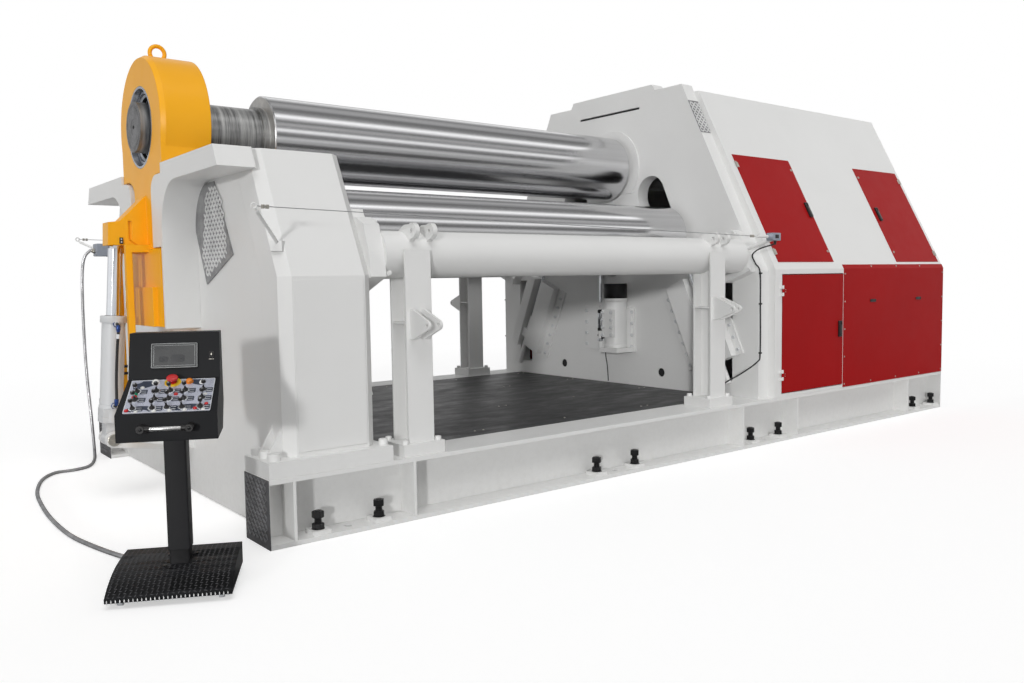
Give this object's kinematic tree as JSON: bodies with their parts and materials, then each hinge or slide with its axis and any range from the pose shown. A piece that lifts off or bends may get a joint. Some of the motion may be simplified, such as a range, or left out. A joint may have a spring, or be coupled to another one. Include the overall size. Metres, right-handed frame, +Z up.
{
  "type": "plate bending machine",
  "caption": "Four-roll plate bending machine with hinged drop end, red-doored drive housing and a free-standing console.",
  "frame": {"origin": "centre of the four outer anchor holes, on the underside of the base", "axes": "+X along the rolls from the drop end to the drive housing, +Y from the infeed side with the console to the other side, +Z up"},
  "size_m": [7.3042, 3.7773, 2.8058],
  "materials": {
    "white_paint": "gloss paint",
    "deck_plate": "matt dark plate",
    "black_bolts": "black oxide",
    "dark_checker": "checker plate",
    "bright_checker": "checker plate",
    "yellow_paint": "gloss paint",
    "bearing_steel": "machined",
    "cylinder_paint": "gloss paint",
    "chrome_rod": "hard chrome",
    "hose_rubber": "hydraulic hose",
    "roll_steel": "ground",
    "red_paint": "satin paint",
    "black_plastic": "moulded",
    "wire_steel": "steel wire",
    "cable_rubber": "sheath",
    "grey_box": "cast box",
    "conduit_steel": "corrugated conduit",
    "console_paint": "semi-matt paint",
    "console_plates": "anodised",
    "control_red": "moulded"
  },
  "bodies": {
    "frame": {"main_beams": "white_paint", "cross_members": "white_paint", "deck": "deck_plate", "leveling_bolts": "black_bolts", "beam_end_covers": "dark_checker", "left_columns": "white_paint", "left_outer_wall": "white_paint", "left_inner_wall": "white_paint", "left_roof": "white_paint", "yoke": "white_paint", "checker_covers": "bright_checker", "left_guards": "white_paint", "drop_brackets": "white_paint", "right_plate": "white_paint", "guide_boxes": "white_paint", "lower_lift_units": "white_paint", "tie_tubes": "white_paint", "posts": "white_paint", "housing_sides": "white_paint", "housing_end": "white_paint", "housing_roof": "white_paint", "fixed_doors": "red_paint", "door_fittings": "black_plastic", "wire_brackets": "white_paint", "safety_wires": "wire_steel", "switch_cable": "cable_rubber", "junction_box": "grey_box", "conduit": "conduit_steel", "console_stand": "console_paint", "console_desk": "console_paint", "console_panel": "console_plates", "console_controls": "control_red"},
    "drop_end": {"drop_end": "yellow_paint", "drop_bearing": "bearing_steel", "lifting_eye": "yellow_paint"},
    "drop_barrel": {"drop_barrel": "cylinder_paint", "drop_hose": "hose_rubber"},
    "drop_rod": {"drop_rod": "chrome_rod"},
    "top_roll": {"top_roll": "roll_steel"},
    "lower_carriage": {"lower_bearings": "chrome_rod"},
    "lower_roll": {"lower_roll": "roll_steel"},
    "front_carriage": {"front_bearings": "chrome_rod"},
    "front_roll": {"front_roll": "roll_steel"},
    "back_carriage": {"back_bearings": "chrome_rod"},
    "back_roll": {"back_roll": "roll_steel"},
    "front_door": {"front_service_door": "red_paint", "front_door_latch": "black_plastic"},
    "back_door": {"back_service_door": "red_paint", "back_door_latch": "black_plastic"}
  },
  "joints": [
    {"name": "top_roll_spin", "type": "hinge", "parent": "frame", "child": "top_roll", "pos_m": [-1.141, 0, 2.166], "axis": [1, 0, 0], "continuous": true},
    {"name": "lower_roll_lift", "type": "slide", "parent": "frame", "child": "lower_carriage", "axis": [0, 0, 1], "range_m": [-0.18, 0.015]},
    {"name": "lower_roll_spin", "type": "hinge", "parent": "lower_carriage", "child": "lower_roll", "pos_m": [-1.141, 0, 1.633], "axis": [1, 0, 0], "continuous": true},
    {"name": "front_roll_lift", "type": "slide", "parent": "frame", "child": "front_carriage", "axis": [0, 0.4067, 0.9135], "range_m": [-0.1, 0.345]},
    {"name": "front_roll_spin", "type": "hinge", "parent": "front_carriage", "child": "front_roll", "pos_m": [-1.141, -0.653, 1.574], "axis": [1, 0, 0], "continuous": true},
    {"name": "back_roll_lift", "type": "slide", "parent": "frame", "child": "back_carriage", "axis": [0, -0.4067, 0.9135], "range_m": [-0.1, 0.345]},
    {"name": "back_roll_spin", "type": "hinge", "parent": "back_carriage", "child": "back_roll", "pos_m": [-1.141, 0.653, 1.574], "axis": [1, 0, 0], "continuous": true},
    {"name": "drop_end_tilt", "type": "hinge", "parent": "frame", "child": "drop_end", "pos_m": [-3.519, 0, 0.4], "axis": [0, -1, 0], "range_deg": [0, 70]},
    {"name": "drop_barrel_tilt", "type": "hinge", "parent": "frame", "child": "drop_barrel", "pos_m": [-3.657, 0, 0.36], "axis": [0, -1, 0], "range_deg": [0, 72]},
    {"name": "drop_rod_slide", "type": "slide", "parent": "drop_barrel", "child": "drop_rod", "axis": [0.0689, 0, 0.9976], "range_m": [-0.164, 0]},
    {"name": "front_door_swing", "type": "hinge", "parent": "frame", "child": "front_door", "pos_m": [0.662, -1.579, 0.806], "axis": [0, 0, -1], "range_deg": [0, 110]},
    {"name": "back_door_swing", "type": "hinge", "parent": "frame", "child": "back_door", "pos_m": [0.662, 1.579, 0.806], "axis": [0, 0, 1], "range_deg": [0, 110]}
  ],
  "couplings": [
    {"joint": "drop_barrel_tilt", "follows": "drop_end_tilt", "ratio": 1.0193},
    {"joint": "drop_rod_slide", "follows": "drop_end_tilt", "m_per_rad": -0.13309}
  ]
}
